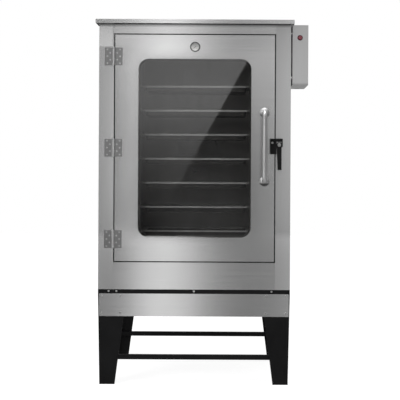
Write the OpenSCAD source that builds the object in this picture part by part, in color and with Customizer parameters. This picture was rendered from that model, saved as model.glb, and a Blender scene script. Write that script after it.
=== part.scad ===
// Rotating rack oven on a stand.
// Millimetres, +Z up. The modules draw in the cabinet's frame: X runs right from the cabinet's middle, Y
// runs back from its front face and Z runs up from the floor. place() moves that frame so that the origin
// lies on the floor under the middle of the whole oven.

/* [Trays and rack] */
// Tray width, across the oven
tray_w = 600; // [450:10:720]
// Tray depth, front to back
tray_d = 400; // [330:10:480]
// Depth of the pan below its rim
tray_pan = 22; // [12:1:40]
// Width of the tray's rim, which rests on the rails
tray_rim = 20; // [14:1:24]
// Height of the rim's turned-down edge
tray_edge = 8; // [3:0.5:12]
// Number of levels, each with its tray
levels = 7; // [7:1:7]
// Distance from one level to the next
level_pitch = 130; // [90:5:160]
// Square tube of the rack's uprights
upright = 20; // [15:1:30]
// How far the uprights stand in from the tray's front and back edges
upright_inset = 30; // [20:1:60]
// Gap between the turning rack and the chamber's side walls
side_clear = 25; // [15:1:60]
// Gap between the turning rack and the door
front_clear = 30; // [20:1:80]
// Gap between the turning rack and the air baffle
rear_clear = 28; // [15:1:80]

/* [Cabinet] */
// Thickness of the side walls, liner to outside
wall_t = 105; // [95:1:150]
// Height from the stand to the chamber floor
base_t = 172; // [120:1:220]
// Height from the chamber roof to the top of the oven
roof_t = 104; // [80:1:160]
// Room from the chamber floor up to the lowest tray
low_room = 116; // [100:1:200]
// Room from the highest tray up to the chamber roof
high_room = 234; // [120:1:320]
// Depth of the fan space behind the air baffle
plenum_d = 92; // [80:1:140]
// Thickness of the rear wall
rear_t = 60; // [50:1:100]
// Outer sheet
sheet = 1.2; // [0.8:0.1:2]
// Chamber sheet
liner = 1.5; // [1:0.1:2]
// How far the top cover stands out at the sides and back
cover_side = 17; // [5:1:40]
// How far the top cover stands out at the front
cover_front = 25; // [5:1:60]
// Height of the top cover's lip
cover_lip = 21; // [15:1:40]

/* [Stand] */
// Height of the stand
stand_h = 496; // [300:1:700]
// Height of the band that carries the cabinet
band_h = 22; // [15:1:40]
// Width of the band's flange under the cabinet
band_flange = 40; // [30:1:60]
// Steel thickness of the legs and the band
leg_t = 4; // [3:0.5:6]
// Width of each leg's flanges at the top
leg_top = 149; // [100:1:180]
// Width of each leg's flanges at the floor
leg_foot = 88; // [50:1:110]
// How far each leg's outer faces rake in at the floor
leg_rake = 8.5; // [0:0.5:20]
// Square tube of the crossbars
bar = 25; // [15:1:40]
// Height of the crossbars' middle above the floor
bar_z = 142; // [60:1:200]
// Height of the front skirt
skirt_h = 118; // [60:1:200]
// How far the skirt's ends stand in from the legs' outer faces
skirt_inset = 5.5; // [0:0.5:20]

/* [Door] */
// Thickness of the door
door_t = 45; // [38:1:60]
// Gap round the door leaf
door_gap = 6; // [4:0.5:10]
// How far the door laps the chamber opening at the sides
lap_side = 27; // [20:1:40]
// How far the door laps the chamber opening at the top and bottom
lap_end = 31; // [20:1:50]
// Width of the door's face beside the window
window_side = 121.5; // [100:0.5:200]
// Width of the door's face above and below the window
window_end = 125; // [110:1:220]
// Corner radius of the window
window_r = 54; // [15:1:100]
// Thickness of each glass
glass_t = 5; // [3:0.5:8]
// Height of the door gasket when shut
gasket_h = 5; // [3:0.5:10]

/* [Hinges] */
// Height of a hinge
hinge_h = 92; // [70:1:130]
// Width of one leaf, from the pin
leaf_w = 46; // [30:1:60]
// Thickness of a leaf
leaf_t = 2.5; // [1.5:0.1:4]
// Radius of the knuckles
knuckle_r = 6.5; // [5:0.1:9]
// Radius of a hinge pin
pin_r = 3; // [2:0.1:4]
// Distance from the door's ends to the middle of the outer hinges
hinge_inset = 114; // [70:1:200]
// How far the pins stand out past the edge of the door opening
pin_offset = 2; // [0:0.5:4]

/* [Handle, latch and gauge] */
// Radius of the handle tube
handle_r = 13; // [8:0.5:16]
// Length of the handle, foot to foot
handle_l = 358; // [200:5:500]
// Distance from the door face to the handle tube's middle
handle_out = 55; // [40:1:80]
// Distance from the door's free edge to the handle
handle_in = 52; // [40:1:90]
// Radius of the latch's grip pull, measured from its pivot to its lower end
latch_l = 128; // [80:1:160]
// Radius of the gauge
gauge_r = 26; // [20:1:40]
// Distance from the door's top edge to the gauge's middle
gauge_down = 62; // [35:1:90]

/* [Control box] */
// Width of the box
box_w = 82.5; // [60:0.5:140]
// Depth of the box
box_d = 385; // [200:5:500]
// Height of the box
box_h = 313; // [200:1:500]
// Air gap between the box and the side panel
box_gap = 8.5; // [4:0.5:30]
// How far the box stands back from the cabinet's front
box_back = 20; // [0:1:100]
// Radius of the start button
button_r = 10.5; // [8:0.5:14]
// Travel of the start button
button_travel = 4; // [2:0.5:6]

/* [Drive and fan] */
// Radius of the drive shaft
shaft_r = 15; // [10:1:20]
// Radius of the turntable
turntable_r = 140; // [100:5:180]
// Radius of the fan wheel
fan_r = 165; // [120:5:200]
// Number of fan blades
fan_blades = 24; // [12:1:36]
// Radius of the fan's shaft
fan_shaft_r = 9; // [6:1:12]
// Outer radius of the vent pipe
vent_r = 40; // [30:1:60]
// How far the vent pipe stands out of the rear panel
vent_out = 60; // [40:1:120]

/* [Hidden] */
$fn = 48;

// Clearances
rail_gap = 3;                  // tray edge to upright
run_fit = 0.05;                // radial clearance of a turning fit
hole_clear = 0.4;              // radial clearance round a pipe or stem
rub_gap = 0.3;                 // between faces that pass or meet on different bodies

// Rack
upright_x = tray_w / 2 + rail_gap + upright / 2;
upright_y = tray_d / 2 - upright_inset;
rail_t = 2;
rail_h = 20;
rack_sweep = ceil(max(
    norm([upright_x + upright / 2, upright_y + upright / 2]),
    norm([tray_w / 2 + rail_gap, tray_d / 2])
));

// Cabinet
chamber_w = 2 * (rack_sweep + side_clear);
chamber_h = low_room + (levels - 1) * level_pitch + high_room;
cabinet_w = chamber_w + 2 * wall_t;
facing_y = door_t + gasket_h;
axis_y = facing_y + rack_sweep + front_clear;
baffle_y = axis_y + rack_sweep + rear_clear;
chamber_rear_y = baffle_y + plenum_d;
cabinet_d = chamber_rear_y + rear_t;
floor_z = stand_h + base_t;
roof_z = floor_z + chamber_h;
total_h = roof_z + roof_t;
lip_z = total_h - cover_lip;
level_z = [for (i = [0 : levels - 1]) floor_z + low_room + i * level_pitch];
rear_flange = 20;
// How far the legs have raked in at the top of the crossbars
bar_inset = leg_rake * (1 - (bar_z - bar / 2) / (stand_h - band_h));

// Door
open_w = chamber_w + 2 * lap_side;
open_z0 = floor_z - lap_end;
open_z1 = roof_z + lap_end;
leaf_x = open_w / 2 - door_gap;
leaf_z0 = open_z0 + door_gap;
leaf_z1 = open_z1 - door_gap;
window_w = 2 * (leaf_x - window_side);
window_h = leaf_z1 - leaf_z0 - 2 * window_end;
window_z = (leaf_z0 + leaf_z1) / 2;
glass_lap = 15;                // how far the outer glass laps the skin
reveal_out = 6;                // how far the reveal stands outside the window edge
glass_lip = 8;                 // the inner panel's lip that holds the inner glass

// Hinges
pin_x = -(open_w / 2 + pin_offset);
pin_y = -(knuckle_r + rub_gap);
knuckles = 5;
knuckle_gap = 0.4;
hinge_z = [leaf_z0 + hinge_inset, window_z, leaf_z1 - hinge_inset];

// Handle, latch and gauge
handle_x = leaf_x - handle_in;
handle_z = window_z + 8;
handle_bend = 22;
latch_z = window_z + 17;       // the lever's pivot
latch_y = -17;
latch_block_w = 33;
latch_x0 = leaf_x - 23;
lever_x0 = open_w / 2 + 5;
lever_w = 26;
latch_pin_r = 4;
hook_h = 11;                   // how far the lever's hook and boss rise above the pivot
gauge_z = leaf_z1 - gauge_down;
gauge_out = 9;
stem_r = 6;
stem_reach = 70;

// Control box
box_x0 = cabinet_w / 2 + box_gap;
box_x1 = box_x0 + box_w;
box_z1 = lip_z - 2;
box_z0 = box_z1 - box_h;
button_z = box_z1 - 66;
button_x = (box_x0 + box_x1) / 2 - 2;
inlet_r = 12.5;

// Drive
rack_z0 = floor_z + 40;
rack_z1 = roof_z - 43;
turntable_t = 8;
gearbox_z1 = stand_h - 31;
gearbox_h = 74;
hanger = 62;
top_pin_r = 10;
bush_r = 22;
bush_h = 30;

// Fan
fan_z = (floor_z + roof_z) / 2;
fan_y0 = baffle_y + liner + 10;
fan_y1 = chamber_rear_y - 15;
motor_r = 60;
motor_l = 120;
cover_w = 260;
cover_d = 150;
vent_z = roof_z - 58;
vent_wall = 1.2;
element_r = 4.25;
element_ring = fan_r + 22;
element_gap = 30;
element_z = fan_z + sqrt(pow(element_ring, 2) - pow(element_gap, 2));

// Where the oven's bounding box has its middle, in the cabinet's frame
plan_x = (box_x1 - cabinet_w / 2 - cover_side) / 2;
plan_y = (cabinet_d + cover_d - handle_out - handle_r) / 2;

steel = [0.72, 0.72, 0.72];
dark_steel = [0.45, 0.45, 0.46];
black = [0.08, 0.08, 0.08];
wool = [0.75, 0.7, 0.5];

// ---------------------------------------------------------------- shared shapes

module place() translate([-plan_x, -plan_y, 0]) children();

// A plate in the XZ plane, from y to y + t
module plate_y(y, t) translate([0, y + t, 0]) rotate([90, 0, 0]) linear_extrude(t) children();

// A plate in the YZ plane, from x to x + t
module plate_x(x, t) translate([x, 0, 0]) rotate([90, 0, 90]) linear_extrude(t) children();

// A box given by its two opposite corners
module block(a, b) translate(a) cube(b - a);

// A cylinder that runs along +Y from p
module rod_y(p, r, l) translate(p) rotate([-90, 0, 0]) cylinder(r = r, h = l);

// A cylinder that runs along +X from p
module rod_x(p, r, l) translate(p) rotate([0, 90, 0]) cylinder(r = r, h = l);

module mirrored_x() {
    children();
    mirror([1, 0, 0]) children();
}

module rounded(w, h, r) {
    square([w - 2 * r, h], center = true);
    square([w, h - 2 * r], center = true);
    for (sx = [-1, 1], sy = [-1, 1]) translate([sx * (w / 2 - r), sy * (h / 2 - r)]) circle(r = r);
}

// The window's outline grown by g, at its place in the door
module window_outline(g = 0) translate([0, window_z])
    rounded(window_w + 2 * g, window_h + 2 * g, window_r + g);

// A slot with round ends
module slot(w, h) {
    square([w - h, h], center = true);
    for (s = [-1, 1]) translate([s * (w - h) / 2, 0]) circle(d = h, $fn = 16);
}

// ---------------------------------------------------------------- stand

// Angle leg: its outer faces lean in towards the floor by the rake, and its flanges narrow from the band down
module leg() {
    top = stand_h - band_h;
    reach = 2 * stand_h;
    rake = -leg_rake / top;
    taper = (leg_top - leg_foot) / top;

    // All that lies on one side of a plane that meets x = at at the band and slopes below it
    module beyond(at, slope, x0) translate([at, 0, top]) rotate([0, atan(slope), 0])
        translate([x0, -reach / 2, -reach]) cube([reach, reach, 2 * reach]);

    module corner(at) intersection() {
        beyond(at, rake, 0);
        mirror([1, -1, 0]) beyond(at, rake, 0);
    }

    color(black) difference() {
        intersection() {
            corner(0);
            beyond(leg_top, taper, -reach);
            mirror([1, -1, 0]) beyond(leg_top, taper, -reach);
            cube([leg_top, leg_top, top]);
        }
        corner(leg_t);
    }
}

module leg_front_left() translate([-cabinet_w / 2, 0, 0]) leg();

module leg_front_right() mirror([1, 0, 0]) leg_front_left();

module leg_rear_left() translate([0, cabinet_d, 0]) mirror([0, 1, 0]) leg_front_left();

module leg_rear_right() mirror([1, 0, 0]) leg_rear_left();

module stand_frame() {
    h = cabinet_w / 2;
    color(black) difference() {
        block([-h, 0, stand_h - band_h], [h, cabinet_d, stand_h]);
        block([-h + leg_t, leg_t, 0], [h - leg_t, cabinet_d - leg_t, stand_h - leg_t]);
        block([-h + band_flange, band_flange, 0], [h - band_flange, cabinet_d - band_flange, stand_h + 1]);
    }
}

module crossbar(y) {
    h = cabinet_w / 2 - leg_t - bar_inset;
    wall = 2;
    color(black) difference() {
        block([-h, y, bar_z - bar / 2], [h, y + bar, bar_z + bar / 2]);
        block([-h - 1, y + wall, bar_z - bar / 2 + wall], [h + 1, y + bar - wall, bar_z + bar / 2 - wall]);
    }
}

module crossbar_front() crossbar(leg_t + bar_inset);

module crossbar_rear() crossbar(cabinet_d - leg_t - bar_inset - bar);

module skirt_front() {
    w = cabinet_w - 2 * skirt_inset;
    z = stand_h - band_h - skirt_h / 2;
    color(steel) plate_y(-sheet, sheet) translate([0, z]) rounded(w, skirt_h, 2);
}

// Hexagon bolts through the band, one more at the hinge side than at the other
module stand_bolts() {
    head_h = 4;
    for (x = [-cabinet_w / 2 + 56, -cabinet_w / 2 + 96, 0, cabinet_w / 2 - 96])
        color("silver") translate([x, -head_h, stand_h - 9]) rotate([-90, 0, 0])
            cylinder(r = 5.5, h = head_h, $fn = 6);
}

// ---------------------------------------------------------------- cabinet shell

// Side panel with its folded front strip, the jamb beside the door and the facing that the gasket meets
module side_panel() {
    a = -cabinet_w / 2;
    b = -open_w / 2;
    c = -chamber_w / 2;
    color(steel) translate([0, 0, stand_h]) linear_extrude(total_h - sheet - stand_h) polygon([
        [a, 0], [b, 0], [b, facing_y], [c, facing_y], [c, facing_y + sheet], [b - sheet, facing_y + sheet],
        [b - sheet, sheet], [a + sheet, sheet], [a + sheet, cabinet_d - 2 * sheet],
        [a + rear_flange, cabinet_d - 2 * sheet], [a + rear_flange, cabinet_d - sheet], [a, cabinet_d - sheet]
    ]);
}

module side_panel_left() side_panel();

module side_panel_right() mirror([1, 0, 0]) side_panel();

// Rail between the side strips: face, return into the opening, and facing down to the chamber
module rail(face_z, open_z, chamber_z) {
    s = sign(face_z - open_z);
    w = open_w / 2 - 0.2;
    color(steel) {
        block([-w, 0, min(face_z, open_z)], [w, sheet, max(face_z, open_z)]);
        block([-w, 0, min(open_z, open_z + s * sheet)], [w, facing_y, max(open_z, open_z + s * sheet)]);
        block(
            [-chamber_w / 2, facing_y - 0.01, min(chamber_z, open_z + s * sheet)],
            [chamber_w / 2, facing_y + sheet, max(chamber_z, open_z + s * sheet)]
        );
    }
}

module top_rail() rail(total_h - sheet, open_z1, roof_z);

module bottom_rail() rail(stand_h, open_z0, floor_z);

module rear_panel() {
    w = cabinet_w - 2 * sheet;
    h = total_h - sheet - stand_h;
    color(steel) plate_y(cabinet_d - sheet, sheet) difference() {
        translate([0, stand_h + h / 2]) square([w, h], center = true);
        translate([0, fan_z]) circle(r = fan_shaft_r + 11);
        translate([0, vent_z]) circle(r = vent_r + hole_clear);
    }
}

module top_cover() {
    a = [-cabinet_w / 2 - cover_side, -cover_front, lip_z];
    b = [cabinet_w / 2 + cover_side, cabinet_d + cover_side, total_h];
    t = [sheet, sheet, 0];
    color(steel) difference() {
        block(a, b);
        block(a + t - [0, 0, 1], b - t - [0, 0, sheet]);
    }
}

module base_panel() {
    m = 2 * sheet;
    color(steel) difference() {
        union() {
            block(
                [-cabinet_w / 2 + m, facing_y + m, stand_h],
                [cabinet_w / 2 - m, cabinet_d - m - 1, stand_h + sheet]
            );
            block([-chamber_w / 2 + m, m, stand_h], [chamber_w / 2 - m, facing_y + m + 1, stand_h + sheet]);
        }
        translate([0, axis_y, stand_h - 1]) cylinder(r = shaft_r + 3, h = 5);
    }
}

// ---------------------------------------------------------------- chamber

chamber_y0 = facing_y + sheet;

module chamber_side() color(dark_steel)
    block([-chamber_w / 2 - liner, chamber_y0, floor_z], [-chamber_w / 2, chamber_rear_y, roof_z]);

module chamber_left() chamber_side();

module chamber_right() mirror([1, 0, 0]) chamber_side();

module chamber_roof() {
    w = chamber_w / 2 + liner;
    color(dark_steel) difference() {
        block([-w, chamber_y0, roof_z], [w, chamber_rear_y, roof_z + liner]);
        translate([0, axis_y, roof_z - 1]) cylinder(r = top_pin_r + 2, h = liner + 2);
    }
}

module chamber_floor() {
    w = chamber_w / 2 + liner;
    color(dark_steel) difference() {
        block([-w, chamber_y0, floor_z - liner], [w, chamber_rear_y, floor_z]);
        translate([0, axis_y, floor_z - liner - 1]) cylinder(r = shaft_r + 3, h = liner + 2);
    }
}

module chamber_rear() {
    w = chamber_w + 2 * liner;
    h = chamber_h + 2 * liner;
    color(dark_steel) plate_y(chamber_rear_y, liner) difference() {
        translate([0, (floor_z + roof_z) / 2]) square([w, h], center = true);
        translate([0, fan_z]) circle(r = fan_shaft_r + 6);
        translate([0, vent_z]) circle(r = vent_r + hole_clear);
        for (s = [-1, 1]) translate([s * element_gap, element_z]) circle(r = element_r + 1);
    }
}

// Baffle between the rack and the fan: a round inlet grille in the middle, a ladder of outlet slots at each
// side
module air_baffle() {
    grille_r = fan_r - 30;
    bar_pitch = 16;
    slot_h = 8;
    rib = 6;
    outlet_w = 56;
    outlet_x = chamber_w / 2 - 20 - outlet_w / 2;
    outlet_pitch = 40;
    rows = floor(grille_r / bar_pitch - 0.4);
    outlets = floor((chamber_h - 60) / outlet_pitch);
    color(dark_steel) plate_y(baffle_y, liner) difference() {
        translate([0, (floor_z + roof_z) / 2]) square([chamber_w - 1, chamber_h - 1], center = true);
        translate([0, fan_z]) for (i = [-rows : rows]) {
            half = sqrt(grille_r * grille_r - pow(abs(i) * bar_pitch + slot_h / 2, 2));
            for (s = [-1, 1]) translate([s * (half + rib) / 2, i * bar_pitch]) slot(half - rib, slot_h);
        }
        for (s = [-1, 1], i = [0 : outlets])
            translate([s * outlet_x, floor_z + 30 + i * (chamber_h - 60) / outlets])
                slot(outlet_w, slot_h + 2);
    }
}

// Mineral wool between the chamber and the shell
module insulation() {
    m = 2 * sheet + 0.5;
    w = cabinet_w / 2 - m;
    lw = chamber_w / 2 + liner;
    color(wool) difference() {
        block([-w, chamber_y0 + 0.5, stand_h + sheet], [w, cabinet_d - m, total_h - sheet]);
        block([-lw, 0, floor_z - liner], [lw, chamber_rear_y + liner, roof_z + liner]);
        translate([0, axis_y, stand_h]) cylinder(r = shaft_r + 10, h = base_t);
        rod_y([0, chamber_rear_y, fan_z], fan_shaft_r + 11, rear_t);
        rod_y([0, chamber_rear_y, vent_z], vent_r + hole_clear, rear_t);
        for (s = [-1, 1]) rod_y([s * element_gap, chamber_rear_y, element_z], element_r + 1, rear_t);
    }
}

// Steam vent through the rear wall, with the collar that seals it to the rear panel
module vent_pipe() {
    y0 = chamber_rear_y - 5;
    collar = 2;
    color(steel) difference() {
        union() {
            rod_y([0, y0, vent_z], vent_r, cabinet_d + vent_out - y0);
            rod_y([0, cabinet_d, vent_z], vent_r + 14, collar);
        }
        rod_y([0, y0 - 1, vent_z], vent_r - vent_wall, cabinet_d + vent_out - y0 + 2);
    }
}

// ---------------------------------------------------------------- control box

module control_box() {
    y1 = box_back + box_d;
    s = [sheet, sheet, sheet];
    stud_r = 7;
    color(steel) difference() {
        union() {
            block([box_x0, box_back, box_z0], [box_x1, y1, box_z1]);
            for (y = [box_back + 40, y1 - 40], z = [box_z0 + 40, box_z1 - 40])
                rod_x([box_x0 - box_gap, y, z], stud_r, box_gap + 1);
        }
        block([box_x0, box_back, box_z0] + s, [box_x1, y1, box_z1] - s);
        rod_y([button_x, box_back - 1, button_z], button_r + 0.5, sheet + 2);
        translate([(box_x0 + box_x1) / 2, y1 - 50, box_z0 - 1]) cylinder(r = inlet_r, h = sheet + 2);
    }
}

module button_bezel() color("black") difference() {
    rod_y([button_x, box_back - 3, button_z], button_r + 3.5, 3);
    rod_y([button_x, box_back - 4, button_z], button_r + 0.5, 5);
}

// Button cap with a domed front, the flange that stops it behind the sheet, and its plunger
module start_button() color("darkred") translate([button_x, box_back, button_z]) rotate([90, 0, 0])
    rotate_extrude() polygon([
        [0, -22], [3, -22], [3, -12], [button_r - 2, -12], [button_r - 2, -sheet - rub_gap - 2],
        [button_r + 2, -sheet - rub_gap - 2], [button_r + 2, -sheet - rub_gap],
        [button_r, -sheet - rub_gap], [button_r, 5],
        for (i = [1 : 6]) [button_r * cos(15 * i), 5 + 2.2 * sin(15 * i)]
    ]);

// ---------------------------------------------------------------- rack and trays

// A ring of square tube round the uprights, with a crossbar under or over the turning axis
module rack_ring(z) {
    x = upright_x;
    y = upright_y;
    h = upright / 2;
    for (s = [-1, 1]) {
        block([-x, s * y - h, z], [x, s * y + h, z + upright]);
        block([s * x - h, -y, z], [s * x + h, y, z + upright]);
    }
    block([-x, -h, z], [x, h, z + upright]);
}

// Angle rail with a stop behind the tray
module tray_rail(z) {
    x1 = tray_w / 2 + rail_gap;
    x0 = x1 - rail_h;
    stop_y = tray_d / 2 + rub_gap + rail_t;
    block([x0, -tray_d / 2, z - rail_t], [x1, stop_y, z]);
    block([x1 - rail_t, -tray_d / 2, z - rail_t], [x1, stop_y, z + rail_h - rail_t]);
    block([x0, tray_d / 2 + rub_gap, z - rail_t], [x1, stop_y, z + rail_h / 2]);
}

module rack_frame() color(steel) translate([0, axis_y, 0]) {
    h = upright / 2;
    for (sx = [-1, 1], sy = [-1, 1])
        translate([sx * upright_x - h, sy * upright_y - h, rack_z0])
            cube([upright, upright, rack_z1 - rack_z0]);
    rack_ring(rack_z0);
    rack_ring(rack_z1 - upright);
    mirrored_x() for (z = level_z) tray_rail(z);
    translate([0, 0, rack_z1 - 1]) cylinder(r = top_pin_r, h = roof_z - rack_z1 - 7);
}

// Baking tray: a shallow pan with sloping walls inside a turned-down rim. z is the underside of the rim.
module tray(n) {
    rim_t = 1.5;
    wall = 1;
    slope = 8;
    w = tray_w - 2 * tray_rim - 2 * rail_gap;
    d = tray_d - 2 * (tray_rim - 8);
    module pan(inset, z0, z1) hull() {
        translate([0, 0, z1 - 0.01]) linear_extrude(0.01) rounded(w - 2 * inset, d - 2 * inset, 22 - inset);
        translate([0, 0, z0]) linear_extrude(0.01)
            rounded(w - 2 * inset - 2 * slope, d - 2 * inset - 2 * slope, 16 - inset);
    }
    color([0.3, 0.3, 0.31]) translate([0, axis_y, level_z[n]]) difference() {
        union() {
            translate([0, 0, tray_edge - rim_t]) linear_extrude(rim_t) rounded(tray_w, tray_d, 24);
            linear_extrude(tray_edge) difference() {
                rounded(tray_w, tray_d, 24);
                rounded(tray_w - 2 * rim_t, tray_d - 2 * rim_t, 24 - rim_t);
            }
            pan(0, -tray_pan, tray_edge - 0.5);
        }
        pan(wall, -tray_pan + wall, tray_edge + 0.1);
    }
}

module tray_1() tray(0);

module tray_2() tray(1);

module tray_3() tray(2);

module tray_4() tray(3);

module tray_5() tray(4);

module tray_6() tray(5);

module tray_7() tray(6);

// ---------------------------------------------------------------- drive

// Turntable plate, its hub and the drive shaft that goes down into the gearbox
module turntable() color("silver") translate([0, axis_y, 0]) {
    shaft_z0 = gearbox_z1 - gearbox_h - 6;
    translate([0, 0, rack_z0 - turntable_t]) cylinder(r = turntable_r, h = turntable_t);
    translate([0, 0, floor_z + 6]) cylinder(r = shaft_r + 13, h = rack_z0 - turntable_t - floor_z - 5);
    translate([0, 0, shaft_z0]) cylinder(r = shaft_r, h = rack_z0 - turntable_t - shaft_z0 + 1);
}

module floor_bearing() {
    flange = 55;
    color(dark_steel) translate([0, axis_y, 0]) difference() {
        union() {
            translate([0, 0, stand_h - 12]) linear_extrude(12) rounded(2 * flange, 2 * flange, 14);
            translate([0, 0, stand_h - 26]) cylinder(r = 36, h = 15);
        }
        translate([0, 0, stand_h - 30]) cylinder(r = shaft_r + run_fit, h = 40);
    }
}

// Worm gearbox on the shaft, hung from the base panel, with its finned motor lying to the right
module gear_motor() {
    z0 = gearbox_z1 - gearbox_h;
    worm_z = z0 + gearbox_h / 2 - 4;
    body = 90;
    motor_len = 170;
    fins = 14;
    fin_pitch = motor_len * 0.75 / fins;
    color([0.35, 0.4, 0.45]) translate([0, axis_y, 0]) difference() {
        union() {
            translate([0, 0, z0]) linear_extrude(gearbox_h) rounded(body, body, 16);
            translate([0, 0, gearbox_z1 - 8]) linear_extrude(8) rounded(2 * hanger + 20, 2 * hanger + 20, 10);
            for (sx = [-1, 1], sy = [-1, 1])
                translate([sx * hanger, sy * hanger, gearbox_z1 - 1])
                    cylinder(r = 6, h = stand_h - gearbox_z1 + 1);
            rod_x([-52, -30, worm_z], 24, 104);
            translate([52, -30, worm_z]) rotate([0, 90, 0]) rotate_extrude() polygon([
                [0, -2], [46, -2], [46, 8], [40, 8],
                for (i = [0 : fins - 1], p = [[40, 0], [47, 0], [47, 0.45], [40, 0.45]])
                    [p[0], 14 + (i + p[1]) * fin_pitch],
                [40, 14 + motor_len * 0.78], [47, 14 + motor_len * 0.78], [47, 8 + motor_len],
                [40, 14 + motor_len], [0, 14 + motor_len]
            ]);
            block([90, 2, worm_z - 26], [160, 34, worm_z + 26]);
        }
        translate([0, 0, z0 - 8]) cylinder(r = shaft_r + run_fit, h = gearbox_h + 20);
    }
}

module top_bush() color("peru") translate([0, axis_y, 0]) difference() {
    translate([0, 0, roof_z - bush_h]) cylinder(r = bush_r, h = bush_h);
    translate([0, 0, roof_z - bush_h - 1]) cylinder(r = top_pin_r + run_fit, h = bush_h + 2);
}

// ---------------------------------------------------------------- fan and heat

// One backward-curved blade, from the inner radius to the rim
module blade_outline() {
    r0 = fan_r * 0.66;
    r1 = fan_r - 3;
    sweep = 34;
    t = 1.6;
    steps = 6;
    function at(i, side) =
        let (k = i / steps, r = r0 + (r1 - r0) * k, a = sweep * (1 - pow(1 - k, 1.4)))
            [r * cos(a) - side * t / 2 * sin(a), r * sin(a) + side * t / 2 * cos(a)];
    polygon([for (i = [0 : steps]) at(i, -1), for (i = [steps : -1 : 0]) at(i, 1)]);
}

module fan_wheel() {
    depth = fan_y1 - fan_y0;
    disc = 2;
    color("silver") translate([0, fan_y1, fan_z]) rotate([90, 0, 0]) {
        cylinder(r = fan_r, h = disc);
        cylinder(r = 26, h = 30);
        translate([0, 0, depth - disc]) difference() {
            cylinder(r = fan_r, h = disc);
            translate([0, 0, -1]) cylinder(r = fan_r * 0.7, h = disc + 2);
        }
        for (i = [0 : fan_blades - 1]) rotate(360 / fan_blades * i)
            translate([0, 0, disc - 0.5]) linear_extrude(depth - 2 * disc + 1) blade_outline();
        translate([0, 0, -(cabinet_d + 30 - fan_y1)]) cylinder(r = fan_shaft_r, h = cabinet_d + 32 - fan_y1);
    }
}

// Motor on the rear panel: flange, finned barrel and fan cowl
module fan_motor() {
    fins = 10;
    fin_pitch = 7;
    core = motor_r - 8;
    color([0.35, 0.4, 0.45]) translate([0, cabinet_d, fan_z]) rotate([-90, 0, 0]) difference() {
        rotate_extrude() polygon([
            [0, 0], [motor_r + 12, 0], [motor_r + 12, 8], [core, 8],
            for (i = [0 : fins - 1], p = [[core, 0], [motor_r, 0], [motor_r, 0.45], [core, 0.45]])
                [p[0], 14 + (i + p[1]) * fin_pitch],
            [core, 88], [motor_r, 88], [motor_r, motor_l - 6], [motor_r - 8, motor_l], [0, motor_l]
        ]);
        translate([0, 0, -1]) cylinder(r = fan_shaft_r + run_fit, h = 33);
    }
}

// Vented sheet cover over the fan motor
module motor_cover() {
    h = cover_w / 2;
    slot_w = 84;
    rows = 8;
    row_pitch = 22;
    flange = 16;
    color(steel) difference() {
        union() {
            block([-h, cabinet_d, fan_z - h], [h, cabinet_d + cover_d, fan_z + h]);
            block(
                [-h - flange, cabinet_d, fan_z - h - flange],
                [h + flange, cabinet_d + sheet, fan_z + h + flange]
            );
        }
        block(
            [-h + sheet, cabinet_d - 1, fan_z - h + sheet],
            [h - sheet, cabinet_d + cover_d - sheet, fan_z + h - sheet]
        );
        for (s = [-1, 1], i = [0 : rows - 1]) translate([s * 56, 0, fan_z + (i - (rows - 1) / 2) * row_pitch])
            plate_y(cabinet_d + cover_d - 5, 10) slot(slot_w, 7);
    }
}

// Tubular heater: a loop round the fan, with a leg through the rear wall at each end
module heating_element() {
    y0 = fan_y0 + 20;
    gap_a = asin(element_gap / element_ring);
    color(dark_steel) translate([0, y0, fan_z]) {
        rotate([90, 0, 0]) rotate([0, 0, 90 + gap_a]) rotate_extrude(angle = 360 - 2 * gap_a)
            translate([element_ring, 0]) circle(r = element_r, $fn = 24);
        for (s = [-1, 1]) translate([s * element_gap, 0, element_ring * cos(gap_a)]) {
            sphere(r = element_r + 0.6, $fn = 24);
            rod_y([0, 0, 0], element_r, cabinet_d - 20 - y0);
        }
    }
}

// ---------------------------------------------------------------- door

module door_leaf(inset = 0) translate([0, window_z])
    square([2 * (leaf_x - inset), leaf_z1 - leaf_z0 - 2 * inset], center = true);

// Outer skin: the face with the window cut out of it, and returns folded back round the edges
module door_skin() color(steel) {
    difference() {
        union() {
            plate_y(0, sheet) door_leaf();
            plate_y(0, door_t) difference() {
                door_leaf();
                door_leaf(sheet);
            }
        }
        plate_y(-1, sheet + 2) window_outline();
        rod_y([0, -1, gauge_z], stem_r + hole_clear, sheet + 2);
    }
}

// Inner panel: the sheet that closes the door, its lip over the inner glass, and the reveal round the window
module door_inner_panel() color(steel) {
    difference() {
        plate_y(door_t - sheet, sheet) difference() {
            door_leaf(sheet + 0.2);
            window_outline(-glass_lip);
        }
        rod_y([0, door_t - 5, gauge_z], stem_r + hole_clear, 10);
    }
    plate_y(sheet + glass_t, door_t - 2 * sheet - glass_t + 0.1) difference() {
        window_outline(reveal_out);
        window_outline(reveal_out - sheet);
    }
}

module outer_glass() color([0.2, 0.2, 0.2, 0.4]) plate_y(sheet, glass_t) window_outline(glass_lap);

module inner_glass() color([0.2, 0.2, 0.2, 0.4])
    plate_y(door_t - sheet - glass_t, glass_t) window_outline(reveal_out - sheet - rub_gap);

// Gasket bead round the inner panel, just clear of the chamber's facing
module door_gasket() {
    bead = 14;
    out = 4;
    module ring(w) translate([0, window_z])
        rounded(2 * (leaf_x - out - w), leaf_z1 - leaf_z0 - 2 * (out + w), 20 - w);
    color(black) plate_y(door_t, gasket_h - rub_gap) difference() {
        ring(0);
        ring(bead);
    }
}

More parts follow.
